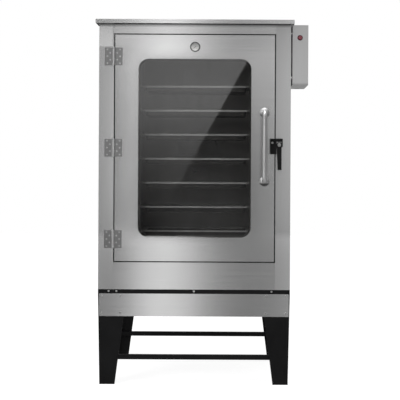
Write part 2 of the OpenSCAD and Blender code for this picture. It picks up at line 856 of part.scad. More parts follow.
// Tubular pull with a round foot at each end
module door_handle() color("silver") translate([handle_x, 0, handle_z]) {
    reach = handle_out - handle_bend;
    for (s = [-1, 1]) {
        rod_y([0, -reach, s * handle_l / 2], handle_r, reach);
        rod_y([0, -5, s * handle_l / 2], handle_r + 10, 5);
        translate([0, -reach, s * (handle_l / 2 - handle_bend)]) rotate([0, -90, 0])
            rotate([0, 0, s > 0 ? -90 : 180]) rotate_extrude(angle = 90)
                translate([handle_bend, 0]) circle(r = handle_r, $fn = 32);
    }
    translate([0, -handle_out, -handle_l / 2 + handle_bend])
        cylinder(r = handle_r, h = handle_l - 2 * handle_bend);
}

// Gauge case with its bezel, dial face and the stem that reaches through the door
module gauge_case() color("silver") translate([0, 0, gauge_z]) rotate([90, 0, 0]) {
    rotate_extrude() polygon([
        [0, 0], [gauge_r - 1, 0], [gauge_r, 1], [gauge_r, gauge_out - 2], [gauge_r - 2, gauge_out],
        [gauge_r - 4, gauge_out], [gauge_r - 5, gauge_out - 2], [gauge_r - 5, 3], [0, 3]
    ]);
    translate([0, 0, -stem_reach]) cylinder(r = stem_r, h = stem_reach + 1);
    translate([0, 0, 2]) cylinder(r = 1.2, h = 2.6);
}

module gauge_pointer() color(black) translate([0, -3.4, gauge_z]) rotate([90, -45, 0]) difference() {
    union() {
        cylinder(r = 3, h = 0.8);
        linear_extrude(0.8) polygon([[-16, -0.4], [-16, 0.4], [0, 1.6], [7, 1.2], [7, -1.2], [0, -1.6]]);
    }
    translate([0, 0, -1]) cylinder(r = 1.2 + run_fit, h = 3);
}

module gauge_lens() color([0.8, 0.85, 0.9, 0.4]) rod_y([0, -gauge_out + 2.5, gauge_z], gauge_r - 5.05, 1.5);

// ---------------------------------------------------------------- latch

// Latch body on the door's free edge: base plate, block, and the yoke that holds the lever's pin
module latch_body() color(black) {
    x1 = latch_x0 + latch_block_w;
    ear_x = lever_x0 + lever_w + 1;
    top_z = latch_z + 34;
    low_z = latch_z - 46;
    base = 4;
    front = -30;
    block([latch_x0, -base, low_z], [leaf_x - 1, 0, top_z]);
    block([latch_x0, front + 4, low_z], [x1, -base + 0.01, top_z]);
    block([latch_x0, front, top_z - 14], [ear_x + 4, -base, top_z]);
    block([ear_x, front + 4, latch_z - 8], [ear_x + 4, -base - 4, top_z - 5]);
    rod_x([x1 - 2, latch_y, latch_z], latch_pin_r, ear_x - x1 + 3);
}

// Pull lever: pivot boss, hook that comes up to the strike's lip, and the grip in front of the side strip
module latch_lever() color(black) {
    slab = 0.1;
    hook_y = -4.6;
    difference() {
        union() {
            rod_x([lever_x0, latch_y, latch_z], hook_h, lever_w);
            hull() {
                translate([lever_x0 + 1, latch_y - 8, latch_z - 4]) cube([lever_w - 2, 14, slab]);
                translate([lever_x0 + 3.5, latch_y - 12, latch_z - 60]) cube([lever_w - 4.5, 12, slab]);
            }
            hull() {
                translate([lever_x0 + 3.5, latch_y - 12, latch_z - 60]) cube([lever_w - 4.5, 12, slab]);
                translate([lever_x0 + 7, latch_y - 18, latch_z - latch_l]) cube([lever_w - 8, 10, slab]);
            }
            block([lever_x0 + 8, latch_y + 4, latch_z - 5], [lever_x0 + 22, hook_y, latch_z + 5]);
            block([lever_x0 + 8, -7, latch_z - 5], [lever_x0 + 22, hook_y, latch_z + hook_h]);
        }
        rod_x([lever_x0 - 1, latch_y, latch_z], latch_pin_r + run_fit, lever_w + 2);
    }
}

// Strike on the side strip: a bracket whose lip hangs in front of the lever's hook
module latch_strike() color("silver") {
    x0 = lever_x0 + 6;
    x1 = lever_x0 + 24;
    lip_z0 = latch_z + hook_h + rub_gap;
    block([x0, -2, lip_z0 + 2], [x1, 0, latch_z + 29]);
    block([x0, -10, lip_z0 + 2], [x1, 0, lip_z0 + 4]);
    block([x0, -10, lip_z0], [x1, -8, lip_z0 + 4]);
}

// ---------------------------------------------------------------- hinges

knuckle_h = hinge_h / knuckles;

// One leaf of each hinge about its pin: the plate stands clear of the barrel, with a tab at its own knuckles
module hinge_leaf(own, side) {
    clear = knuckle_r + rub_gap;
    h = knuckle_h - knuckle_gap;
    module strip(x0, x1, height) translate([side > 0 ? x0 : -x1, -pin_y - leaf_t, 0])
        cube([x1 - x0, leaf_t, height]);
    for (z = hinge_z) translate([pin_x, pin_y, z - hinge_h / 2]) difference() {
        union() {
            strip(clear, leaf_w, hinge_h);
            for (i = own) translate([0, 0, i * knuckle_h + knuckle_gap / 2]) {
                cylinder(r = knuckle_r, h = h);
                strip(pin_offset + rub_gap, clear + 1, h);
            }
        }
        translate([0, 0, -1]) cylinder(r = pin_r + run_fit, h = hinge_h + 2);
    }
}

module hinge_frame_leaves() color(dark_steel) hinge_leaf([0, 2, 4], -1);

module hinge_door_leaves() color(dark_steel) hinge_leaf([1, 3], 1);

module hinge_pins() color("silver") for (z = hinge_z) translate([pin_x, pin_y, z]) {
    cylinder(r = pin_r, h = hinge_h, center = true);
    for (s = [-1, 1]) translate([0, 0, s * (hinge_h / 2 + 1)]) cylinder(r = pin_r + 2, h = 2, center = true);
}

// ---------------------------------------------------------------- nodes

place() leg_front_left();
place() leg_front_right();
place() leg_rear_left();
place() leg_rear_right();
place() stand_frame();
place() crossbar_front();
place() crossbar_rear();
place() skirt_front();
place() stand_bolts();
place() side_panel_left();
place() side_panel_right();
place() rear_panel();
place() top_cover();
place() base_panel();
place() top_rail();
place() bottom_rail();
place() chamber_left();
place() chamber_right();
place() chamber_roof();
place() chamber_floor();
place() chamber_rear();
place() air_baffle();
place() insulation();
place() vent_pipe();
place() control_box();
place() button_bezel();
place() start_button();
place() rack_frame();
place() tray_1();
place() tray_2();
place() tray_3();
place() tray_4();
place() tray_5();
place() tray_6();
place() tray_7();
place() turntable();
place() floor_bearing();
place() gear_motor();
place() top_bush();
place() fan_wheel();
place() fan_motor();
place() motor_cover();
place() heating_element();
place() door_skin();
place() door_inner_panel();
place() outer_glass();
place() inner_glass();
place() door_gasket();
place() door_handle();
place() gauge_case();
place() gauge_pointer();
place() gauge_lens();
place() latch_body();
place() latch_lever();
place() latch_strike();
place() hinge_frame_leaves();
place() hinge_door_leaves();
place() hinge_pins();
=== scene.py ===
import math

import bmesh
import bpy
from mathutils import Matrix, Vector


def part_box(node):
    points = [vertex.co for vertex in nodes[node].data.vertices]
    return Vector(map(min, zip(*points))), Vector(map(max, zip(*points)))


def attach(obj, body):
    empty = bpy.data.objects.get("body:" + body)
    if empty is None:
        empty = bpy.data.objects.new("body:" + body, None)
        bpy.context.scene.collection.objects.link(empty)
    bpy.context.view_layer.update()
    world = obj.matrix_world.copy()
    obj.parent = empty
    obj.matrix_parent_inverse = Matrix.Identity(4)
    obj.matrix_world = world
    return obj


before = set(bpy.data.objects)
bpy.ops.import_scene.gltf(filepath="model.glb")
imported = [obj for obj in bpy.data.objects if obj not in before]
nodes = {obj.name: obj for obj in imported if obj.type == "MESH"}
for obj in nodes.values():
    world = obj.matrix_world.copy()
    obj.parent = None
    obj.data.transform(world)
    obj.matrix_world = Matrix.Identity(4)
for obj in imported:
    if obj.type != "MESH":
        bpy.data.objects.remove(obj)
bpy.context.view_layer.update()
scene = bpy.context.scene

# The cabinet's own frame has x = 0 at its middle and y = 0 at its front face
CX, CY = -0.037, -0.541

# Places on the front, in millimetres in the cabinet's frame
HINGE_X = -424
HINGE_HEIGHTS = (757, 1233, 1709)
LEAF_FRONT = -2.5
SKIRT_FRONT = -1.2
HANDLE_X, HANDLE_Z, HANDLE_REACH = 364, 1241, 179
HANDLE_FOOT = -0.1
GAUGE_Z = 1761
DIAL_BACK, SCALE_FRONT, NUMBER_MIDDLE = -3.05, -3.32, -3.29
LATCH_DISC = (440, -27.8, 1251)
LATCH_SCREW = (404, -26, 1263.2)


def at(x, y, z):
    """A point given in the cabinet's frame, in millimetres, as a point of the row frame in metres."""
    return Vector((CX + x / 1000, CY + y / 1000, z / 1000))


def rgb(v, tint=(1, 1, 1)):
    return tuple(v * t for t in tint)


def grey(v):
    return (v, v, v, 1.0)


# ---------------------------------------------------------------- node trees

class Tree:
    """A node tree, with short calls for the nodes used here. Most calls return an output socket."""

    def __init__(self, nt):
        self.nt = nt

    def node(self, kind, ins=(), **props):
        n = self.nt.nodes.new(kind)
        for k, v in props.items():
            setattr(n, k, v)
        for k, v in dict(ins).items():
            self.put(n.inputs[k], v)
        return n

    def put(self, socket, v):
        """Link an output socket to this input, or set the input to a plain value."""
        if isinstance(v, bpy.types.NodeSocket):
            self.nt.links.new(v, socket)
        else:
            socket.default_value = v

    def xyz(self):
        """The three object coordinates, by name."""
        place = self.node("ShaderNodeTexCoord").outputs["Object"]
        return self.node("ShaderNodeSeparateXYZ", {0: place}).outputs

    def coords(self, scale=(1, 1, 1), loc=(0, 0, 0)):
        place = self.node("ShaderNodeTexCoord").outputs["Object"]
        m = self.node("ShaderNodeMapping", {"Vector": place, "Scale": scale, "Location": loc})
        return m.outputs["Vector"]

    def noise(self, vec, scale=1.0, detail=3.0, rough=0.55, dist=0.0):
        n = self.node("ShaderNodeTexNoise", {"Vector": vec, "Scale": scale, "Detail": detail,
                                             "Roughness": rough, "Distortion": dist})
        return n.outputs["Fac"]

    def ramp(self, fac, stops):
        r = self.node("ShaderNodeValToRGB", {"Fac": fac})
        e = r.color_ramp.elements
        while len(e) < len(stops):
            e.new(0.5)
        for el, (p, c) in zip(e, stops):
            el.position = p
            el.color = (*c, 1.0)
        return r.outputs["Color"]

    def span(self, v, a, b, lo=0.0, hi=1.0, **props):
        """A value that goes from a to b while v goes from lo to hi, and stays there beyond."""
        m = self.node("ShaderNodeMapRange", {"Value": v, "From Min": lo, "From Max": hi,
                                             "To Min": a, "To Max": b}, **props)
        return m.outputs["Result"]

    def calc(self, op, a, b=0.0):
        return self.node("ShaderNodeMath", {0: a, 1: b}, operation=op).outputs[0]

    def mix(self, fac, a, b, blend="MIX"):
        m = self.node("ShaderNodeMix", {0: fac, 6: a, 7: b}, data_type="RGBA", blend_type=blend)
        return m.outputs[2]

    def bump(self, height, strength, dist):
        b = self.node("ShaderNodeBump", {"Height": height, "Strength": strength, "Distance": dist})
        return b.outputs["Normal"]

    def light(self, strength):
        return self.node("ShaderNodeEmission", {"Color": grey(1.0), "Strength": strength}).outputs[0]

    def blend(self, fac, a, b):
        return self.node("ShaderNodeMixShader", {0: fac, 1: a, 2: b}).outputs[0]


class Material(Tree):
    """A new material's node tree."""

    SOCKETS = {"color": "Base Color", "metal": "Metallic", "rough": "Roughness", "aniso": "Anisotropic",
               "spec": "Specular IOR Level", "normal": "Normal", "tangent": "Tangent"}

    def __init__(self, name):
        self.mat = bpy.data.materials.new(name)
        self.mat.use_nodes = True
        super().__init__(self.mat.node_tree)
        self.bsdf = self.nt.nodes["Principled BSDF"]

    def set(self, **kw):
        for k, v in kw.items():
            self.put(self.bsdf.inputs[self.SOCKETS[k]], v)

    def surface(self, shader):
        self.nt.links.new(shader, self.nt.nodes["Material Output"].inputs["Surface"])


# ---------------------------------------------------------------- materials

# Per grain axis: the scales of the fine and the coarse streaks, and the axis of the radial tangent
GRAIN = {"x": ((7, 700, 700), (0.8, 130, 130), "Z"), "z": ((700, 700, 7), (130, 130, 0.8), "X")}


def brushed(name, base=0.62, rough=0.22, grain="x", aniso=0.8, tint=(1.0, 1.0, 1.0), streak=0.05,
            smudge=0.03, painted_light=(), play=0.012, relief=0.03):
    """Sheet steel brushed along one axis.

    painted_light: boxes (low, high, fade, factor) in metres that scale its tone by factor, as painted shade
    below 1 and painted highlight above 1; None leaves a side open.
    play: how much its roughness varies. relief: how deep the fine streaks are."""
    t = Material(name)
    fine, coarse, axis = GRAIN[grain]
    f = t.noise(t.coords(fine), 1.0, 2.0, 0.6)
    c = t.noise(t.coords(coarse, (3.1, 7.7, 1.3)), 1.0, 3.0, 0.6)
    s = t.noise(t.coords((1.7, 1.7, 1.3), (5.2, 1.9, 8.4)), 1.0, 4.0, 0.55, 0.6)
    g = t.calc("ADD", t.calc("MULTIPLY", f, 0.7), t.calc("MULTIPLY", c, 0.3))
    lo, hi = base * (1 - streak), min(1.0, base * (1 + streak))
    col = t.ramp(g, [(0.32, rgb(lo, tint)), (0.68, rgb(hi, tint))])
    dull = t.ramp(s, [(0.35, rgb(1 - smudge)), (0.7, rgb(1.0))])
    col = t.mix(1.0, col, dull, "MULTIPLY")
    xyz = t.xyz()
    # Painted shade and painted highlights: inside each box the tone is scaled by its factor
    for low, high, fade, factor in painted_light:
        inside = 1.0
        for v, a, b in zip(xyz, low, high):
            if a is not None:
                inside = t.calc("MULTIPLY", inside, t.span(v, 0.0, 1.0, a - fade, a))
            if b is not None:
                inside = t.calc("MULTIPLY", inside, t.span(v, 1.0, 0.0, b, b + fade))
        toned = t.mix(1.0, col, grey(factor), "MULTIPLY")
        col = t.mix(inside, col, toned)
    r = rough
    if play:
        r = t.calc("ADD", t.span(g, rough - play, rough + play, 0.3, 0.7), t.span(s, 0.02, -0.015, 0.3, 0.7))
    tangent = t.node("ShaderNodeTangent", direction_type="RADIAL", axis=axis).outputs[0]
    if grain == "x":
        # Faces that look up or down have their grain along X as well
        normal = t.node("ShaderNodeNewGeometry").outputs["Normal"]
        up = t.node("ShaderNodeSeparateXYZ", {0: normal}).outputs["Z"]
        lies = t.calc("GREATER_THAN", t.calc("ABSOLUTE", up), 0.7)
        flat = t.node("ShaderNodeTangent", direction_type="RADIAL", axis="Y").outputs[0]
        tangent = t.node("ShaderNodeMix", {0: lies, 4: tangent, 5: flat}, data_type="VECTOR").outputs[1]
    t.set(color=col, metal=1.0, rough=r, aniso=aniso, normal=t.bump(f, relief, 0.0004), tangent=tangent)
    return t.mat


def steel_plain(name, base=0.6, rough=0.25, tint=(1, 1, 0.99), scale=300, vary=0.08):
    """Metal without a grain. scale: of its fine relief. vary: how much its tone changes."""
    t = Material(name)
    n = t.noise(t.coords(), scale, 3.0, 0.6)
    s = t.noise(t.coords(), 9.0, 4.0, 0.6)
    col = t.ramp(s, [(0.3, rgb(base * (1 - vary), tint)), (0.7, rgb(base * (1 + vary), tint))])
    t.set(color=col, metal=1.0, rough=t.span(s, rough - 0.06, rough + 0.08, 0.3, 0.7),
          normal=t.bump(n, 0.05, 0.0005))
    return t.mat


def paint(name, base, rough=0.45, peel=700, vary=0.2, spec=0.5, shade=None):
    """Enamel, powder coat, plastic or another plain coloured stuff.

    peel: scale of its fine relief. shade: (z0, z1, k0, k1) in metres, painted shade that scales its tone from
    k0 at z0 to k1 at z1."""
    t = Material(name)
    n = t.noise(t.coords(), peel, 2.0, 0.5)
    s = t.noise(t.coords(), 7.0, 5.0, 0.6)
    col = t.ramp(s, [(0.3, rgb(1 - vary, base)), (0.72, rgb(1 + vary, base))])
    # Painted shade: its tone scaled with height
    if shade:
        z0, z1, k0, k1 = shade
        col = t.mix(1.0, col, t.span(t.xyz()["Z"], k0, k1, z0, z1), "MULTIPLY")
    t.set(color=col, rough=t.span(s, rough - 0.07, rough + 0.1, 0.3, 0.7), spec=spec,
          normal=t.bump(n, 0.1, 0.0005))
    return t.mat


def tray_steel(name):
    """Dark tray sheet, with a painted highlight along its rim."""
    t = Material(name)
    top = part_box("tray_1")[1][2]
    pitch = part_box("tray_2")[1][2] - top
    rim_h = 0.009
    # Painted highlight: a bright band along the top of each tray's rim
    above = t.calc("MODULO", t.calc("SUBTRACT", t.xyz()["Z"], top - rim_h - pitch), pitch)
    rim = t.span(above, 1.0, 0.0, rim_h + 0.0005, rim_h + 0.0015)
    s = t.noise(t.coords(), 6.0, 5.0, 0.6)
    n = t.noise(t.coords((9, 400, 400)), 1.0, 3.0, 0.6)
    dull = t.ramp(s, [(0.3, (0.085, 0.082, 0.078)), (0.72, (0.14, 0.135, 0.128))])
    rim_highlight = t.ramp(s, [(0.3, (0.78, 0.775, 0.76)), (0.7, (0.92, 0.915, 0.9))])
    t.set(color=t.mix(rim, dull, rim_highlight), metal=1.0, rough=t.span(s, 0.4, 0.48, 0.3, 0.7),
          normal=t.bump(n, 0.05, 0.0004))
    return t.mat


def pane(name, through, f0, rough=0.01, streaks=0.0):
    """Glass pane: what is behind shows through its tint, and it mirrors what is in front."""
    t = Material(name)
    s = t.noise(t.coords((3, 3, 1)), 4.0, 4.0, 0.6, 0.4)
    tint = t.ramp(s, [(0.3, rgb(1 - streaks, through)), (0.75, rgb(1.0, through))])
    clear = t.node("ShaderNodeBsdfTransparent", {"Color": tint})
    shine = t.node("ShaderNodeBsdfGlossy", {"Color": grey(1.0),
                                            "Roughness": t.span(s, rough, rough + 0.02, 0.3, 0.7)})
    facing = t.node("ShaderNodeLayerWeight", {"Blend": 0.5}).outputs["Facing"]
    mirror = t.span(t.calc("POWER", facing, 5.0), f0, 1.0)
    t.surface(t.blend(mirror, clear.outputs[0], shine.outputs[0]))
    t.nt.nodes.remove(t.bsdf)
    return t.mat


# Painted shade: the rebate round the door and the door liner in front of its rear face, where the door's gap
# lies in shade, and a painted shadow on the strip under the cover's lip
REBATE_SHADE = ((-0.467, -0.533, 0.60), (0.393, -0.44, 1.87), 0.004, 0.12)
REVEAL_SHADE = ((-0.467, -0.533, 0.60), (0.393, -0.4975, 1.87), 0.001, 0.12)
LIP_SHADOW = ((None, None, 1.877), (None, None, 1.9), 0.015, 0.36)
# Painted highlight: the hinges' knuckles, brighter than their leaves
KNUCKLE_HIGHLIGHT = ((-0.4685, None, None), (-0.4535, None, None), 0.0005, 2.3)
# Painted shade on their undersides: the covers of the handle's feet, and the tube's lower bend
FOOT_SHADE_HIGH = ((None, None, 1.37), (None, None, 1.408), 0.006, 0.5)
FOOT_SHADE_LOW = ((None, None, 1.02), (None, None, 1.049), 0.006, 0.2)
BEND_SHADE = ((None, None, 1.02), (None, None, 1.049), 0.006, 0.3)
# Painted highlights: brighter low on the two strips beside the door, and at the head of the left one
POST_FOOT_HIGHLIGHT = ((None, -0.56, 0.4), (None, -0.539, 0.76), 0.04, 1.3)
POST_HEAD_HIGHLIGHT = ((-0.56, -0.56, 1.765), (-0.47, -0.539, 1.9), 0.008, 1.5)
# Painted shade: the door's hinge side is less bright towards its edge
HINGE_SIDE_SHADE = ((None, None, 0.85), (-0.459, None, 1.68), 0.1, 0.8)
# Painted shade on the box's bent lower edge
BOX_EDGE_SHADE = ((0.468, None, 1.4), (0.6, None, 1.567), 0.012, 0.65)

WARM = (1.0, 0.98, 0.94)
NEUTRAL = (1, 1, 1)

M = {
    "steel_x": brushed("steel_brushed_across", 0.62, 0.22, "x", 0.8, painted_light=(REBATE_SHADE, LIP_SHADOW)),
    "steel_z": brushed("steel_brushed_up", 0.58, 0.26, "z", 0.6, streak=0.02, play=0.0, relief=0.0,
                       painted_light=(REBATE_SHADE, LIP_SHADOW, POST_FOOT_HIGHLIGHT, POST_HEAD_HIGHLIGHT)),
    "steel_skin": brushed("steel_door_skin", 0.62, 0.22, "x", 0.8, painted_light=(REBATE_SHADE, LIP_SHADOW, HINGE_SIDE_SHADE)),
    "steel_rail": brushed("steel_top_rail", 0.59, 0.22, "x", 0.8, painted_light=(REBATE_SHADE, LIP_SHADOW)),
    "steel_box": brushed("steel_sheet", 0.57, 0.28, "z", 0.55, streak=0.02, play=0.0, relief=0.0,
                         painted_light=(BOX_EDGE_SHADE,)),
    "steel_top": brushed("steel_cover", 0.7, 0.2, "x", 0.85, streak=0.02, play=0.006, relief=0.012),
    "galvanised": steel_plain("galvanised_sheet", 0.5, 0.4, (1, 1.01, 1.02), 60, 0.15),
    "chamber": brushed("chamber_steel", 0.58, 0.34, "z", 0.4, WARM, 0.1, 0.15),
    "liner": brushed("door_liner_steel", 0.58, 0.34, "z", 0.4, WARM, 0.1, 0.15, painted_light=(REVEAL_SHADE,)),
    "black": paint("black_enamel", (0.0042, 0.0042, 0.0044), 0.42, 700, 0.2, 0.07),
    "bolt": steel_plain("zinc_bolt", 0.5, 0.3),
    "wool": paint("mineral_wool", (0.6, 0.52, 0.3), 0.95, 900),
    "bezel": paint("bezel_dark_red", (0.03, 0.004, 0.008), 0.45, 1200, 0.2, 0.05),
    "red": paint("button_red", (0.12, 0.034, 0.042), 0.3, 1500, 0.2, 0.2),
    "rack": brushed("rack_steel", 0.5, 0.3, "z", 0.3),
    "tray": tray_steel("tray_steel"),
    "iron": paint("bearing_iron", (0.09, 0.09, 0.09), 0.5, 250),
    "brass": steel_plain("bush_brass", 0.6, 0.25, (1.0, 0.78, 0.42)),
    "motor": paint("motor_enamel", (0.09, 0.12, 0.15), 0.4, 600),
    "fan": steel_plain("fan_steel", 0.55, 0.3),
    "heater": steel_plain("heater_sheath", 0.25, 0.5, (1, 0.93, 0.86), 200, 0.2),
    "glass": pane("tinted_glass", (0.86, 0.86, 0.86), 0.10, 0.008, 0.04),
    "inner_glass": pane("clear_glass", (0.97, 0.97, 0.97), 0.03, 0.01, 0.05),
    "lens": pane("gauge_glass", (0.97, 0.97, 0.97), 0.05, 0.01),
    "rubber": paint("gasket_silicone", (0.02, 0.02, 0.02), 0.6, 500),
    "chrome": brushed("tube_satin", 0.44, 0.42, "z", 0.2, streak=0.02, relief=0.01, painted_light=(BEND_SHADE,)),
    "dome": brushed("foot_cover_steel", 0.42, 0.46, "x", 0.1, streak=0.02, relief=0.01,
                    painted_light=(FOOT_SHADE_HIGH, FOOT_SHADE_LOW)),
    "case": steel_plain("gauge_case", 0.18, 0.22, NEUTRAL, 500, 0.05),
    "pin": steel_plain("pin_steel", 0.5, 0.3, NEUTRAL, 500, 0.05),
    "disc": steel_plain("lock_disc_steel", 0.3, 0.35, NEUTRAL, 500, 0.08),
    "hinge": brushed("hinge_steel", 0.21, 0.36, "z", 0.3, painted_light=(KNUCKLE_HIGHLIGHT,)),
    "strike": brushed("strike_steel", 0.3, 0.36, "z", 0.3),
    # Painted shade: the dial is brighter low down and darker towards its top, as in the shadow of the gauge's
    # ring
    "dial": paint("dial_face", (0.38, 0.38, 0.37), 0.5, 900, shade=(1.743, 1.776, 1.3, 0.38)),
    "ink": paint("dial_ink", (0.02, 0.02, 0.02), 0.5, 900),
    # Painted shade of the screws' cross recesses
    "recess": paint("recess_painted_shade", (0.02, 0.02, 0.02), 0.6, 900),
    "screw": steel_plain("screw_steel", 0.45, 0.35),
    "dull_screw": steel_plain("skirt_screw_steel", 0.33, 0.4),
}

# The material of each CAD node
WEARS = {
    "steel_x": "bottom_rail skirt_front",
    "steel_skin": "door_skin",
    "steel_rail": "top_rail",
    "steel_z": "side_panel_left side_panel_right",
    "steel_box": "rear_panel control_box motor_cover",
    "steel_top": "top_cover vent_pipe",
    "galvanised": "base_panel",
    "chamber": "chamber_left chamber_right chamber_roof chamber_floor chamber_rear air_baffle",
    "liner": "door_inner_panel",
    "black": "leg_front_left leg_front_right leg_rear_left leg_rear_right stand_frame "
             "crossbar_front crossbar_rear latch_body latch_lever",
    "bolt": "stand_bolts",
    "wool": "insulation",
    "bezel": "button_bezel",
    "red": "start_button",
    "rack": "rack_frame turntable",
    "tray": "tray_1 tray_2 tray_3 tray_4 tray_5 tray_6 tray_7",
    "iron": "floor_bearing",
    "brass": "top_bush",
    "motor": "gear_motor fan_motor",
    "fan": "fan_wheel",
    "heater": "heating_element",
    "glass": "outer_glass",
    "inner_glass": "inner_glass",
    "rubber": "door_gasket",
    "chrome": "door_handle",
    "case": "gauge_case",
    "pin": "hinge_pins",
    "lens": "gauge_lens",
    "ink": "gauge_pointer",
    "hinge": "hinge_frame_leaves hinge_door_leaves",
    "strike": "latch_strike",
}
for key, names in WEARS.items():
    for n in names.split():
        me = nodes[n].data
        me.materials.clear()
        me.materials.append(M[key])
missing = [n for n, o in nodes.items() if not o.data.materials]
assert not missing, missing


# ---------------------------------------------------------------- small pieces

def place(name, data, mats):
    """A new object in the scene, with its data and its materials."""
    o = bpy.data.objects.new(name, data)
    scene.collection.objects.link(o)
    for m in mats:
        data.materials.append(m)
    return o


def piece(name, bm, mats, body, smooth=True):
    """A small piece of closed solids, riding on a body."""
    me = bpy.data.meshes.new(name)
    bmesh.ops.recalc_face_normals(bm, faces=bm.faces)
    bm.to_mesh(me)
    bm.free()
    o = place(name, me, [M[m] for m in mats])
    if smooth:
        for p in me.polygons:
            p.use_smooth = True
        me.set_sharp_from_angle(angle=math.radians(35))
    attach(o, body)


def around(a):
    """The direction at an angle, in a plane that faces -Y, and the one a quarter turn further on."""
    u = Vector((math.cos(a), 0, math.sin(a)))
    return u, Vector((-u.z, 0, u.x))


def lathe(bm, profile, centre, steps=24):
    """A turned solid on an axis that points at -Y: profile holds (radius, height along the axis).

    It goes from the axis out and back to it. One that keeps off the axis is closed into a ring."""
    rot = Vector((0, 0, 1)).rotation_difference(Vector((0, -1, 0))).to_matrix()
    rings = []
    for r, h in profile:
        spots = [2 * math.pi * i / steps for i in range(steps)] if r > 1e-7 else [0.0]
        rings.append([bm.verts.new(centre + rot @ Vector((r * math.cos(a), r * math.sin(a), h)))
                      for a in spots])
    is_ring = profile[0][0] > 1e-7
    for a, b in zip(rings, rings[1:] + (rings[:1] if is_ring else [])):
        for i in range(steps):
            j = (i + 1) % steps
            f = [a[i % len(a)], a[j % len(a)], b[j % len(b)], b[i % len(b)]]
            f = [v for k, v in enumerate(f) if v not in f[:k]]
            if len(f) > 2:
                bm.faces.new(f)


def prism(bm, outline, depth, material=0):
    """A closed plate: the outline, in a plane that faces -Y, and its copy a depth behind it."""
    n = len(outline)
    front = [bm.verts.new(v) for v in outline]
    back = [bm.verts.new(v + Vector((0, depth, 0))) for v in outline]
    sides = [[front[k], front[(k + 1) % n], back[(k + 1) % n], back[k]] for k in range(n)]
    for f in [front, back] + sides:
        bm.faces.new(f).material_index = material


def screw(bm, p, r, h, turn):
    """A pan head standing on p and facing -Y, with a dark cross a little proud of it as the painted shade of
    its cross recess. Its second material is the cross's.
    """
    lathe(bm, [(0, 0), (r, 0), (r, h * 0.35), (r * 0.86, h * 0.8), (r * 0.55, h), (0, h * 1.04)], p)
    cross = []
    for k in range(4):
        u, w = around(turn + k * math.pi / 2)
        cross += [u * su + w * sw for su, sw in ((r * 0.5, -r * 0.09), (r * 0.5, r * 0.09),
                                                 (r * 0.09, r * 0.09))]
    # The cross: a dark plate standing a little proud of the head, painted shade in place of a hollow recess
    prism(bm, [p + Vector((0, -h * 1.07, 0)) + v for v in cross], h * 0.3, 1)


# Five screws in each hinge leaf, by turns far from the pin and near it
FAR, NEAR = 33, 18
for body, side, name in (("cabinet", -1, "hinge_screws_frame"), ("door", 1, "hinge_screws_door")):
    bm = bmesh.new()
    for i, z in enumerate(HINGE_HEIGHTS):
        for k, dz in enumerate((-36, -18, 0, 18, 36)):
            x = HINGE_X + side * (NEAR if k % 2 else FAR)
            screw(bm, at(x, LEAF_FRONT, z + dz), 0.0042, 0.0011, 0.3 + 0.7 * k + i)
    piece(name, bm, ["screw", "recess"], body)

bm = bmesh.new()
for x in (-481, -384, 374, 478):
    for z in (373, 462):
        screw(bm, at(x, SKIRT_FRONT, z), 0.005, 0.0016, x * 0.1 + z)
piece("skirt_screws", bm, ["dull_screw", "recess"], "cabinet")

# Lock disc on the latch lever, and the screw that holds the latch body
bm = bmesh.new()
lathe(bm, [(0, -0.003), (0.004, -0.003), (0.004, 0), (0.0088, 0), (0.0092, 0.0006), (0.0092, 0.0016),
           (0.0086, 0.0021), (0.0034, 0.0022), (0.003, 0.0016), (0, 0.0016)], at(*LATCH_DISC), steps=36)
piece("latch_disc", bm, ["disc"], "latch_lever")
bm = bmesh.new()
screw(bm, at(*LATCH_SCREW), 0.0062, 0.002, 0.6)
piece("latch_screw", bm, ["disc", "recess"], "door")

# Domed covers over the handle's feet
bm = bmesh.new()
for s in (-1, 1):
    lathe(bm, [(0.0132, 0), (0.026, 0), (0.0262, 0.0025), (0.0245, 0.0065), (0.021, 0.0098),
               (0.0165, 0.012), (0.0132, 0.013)], at(HANDLE_X, HANDLE_FOOT, HANDLE_Z + s * HANDLE_REACH),
          steps=48)
piece("handle_covers", bm, ["dome"], "door")

# Dial face with its scale and plain numbers: 0 to 300 over 270 degrees, from the lower left
DIAL_START, DIAL_SWEEP = 225, 270
TICKS, NUMBERS = 31, 7
TICK_END, NUMBER_CIRCLE = 0.0188, 0.0118
bm = bmesh.new()
lathe(bm, [(0, 0), (0.0206, 0), (0.0206, 0.0002), (0, 0.0002)], at(0, DIAL_BACK, GAUGE_Z), steps=48)
piece("gauge_dial", bm, ["dial"], "door")
bm = bmesh.new()
for i in range(TICKS):
    u, w = around(math.radians(DIAL_START - DIAL_SWEEP / (TICKS - 1) * i))
    r0, half = (0.0150, 0.00045) if i % 5 == 0 else (0.0168, 0.0002)
    c = at(0, SCALE_FRONT, GAUGE_Z)
    corners = ((r0, -1), (TICK_END, -1), (TICK_END, 1), (r0, 1))
    prism(bm, [c + u * r + w * s * half for r, s in corners], 0.00012)
piece("gauge_scale", bm, ["ink"], "door", smooth=False)
for i in range(NUMBERS):
    cu = bpy.data.curves.new(f"gauge_number_{i}", "FONT")
    cu.body = str(i * 50)
    cu.size = 0.0048
    cu.extrude = 0.00004
    cu.align_x = "CENTER"
    cu.align_y = "CENTER"
    o = place(f"gauge_number_{i}", cu, [M["ink"]])
    u = around(math.radians(DIAL_START - DIAL_SWEEP / (NUMBERS - 1) * i))[0]
    o.location = at(0, NUMBER_MIDDLE, GAUGE_Z) + u * NUMBER_CIRCLE
    o.rotation_euler = (math.pi / 2, 0, 0)
    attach(o, "door")


# ---------------------------------------------------------------- studio

def sheets(name, quads, mat):
    """Flat sheets of the studio, each given by its corners."""
    me = bpy.data.meshes.new(name)
    corners = [tuple(c) for q in quads for c in q]
    me.from_pydata(corners, [], [tuple(range(k, k + 4)) for k in range(0, len(corners), 4)])
    o = place(name, me, [mat])
    return o


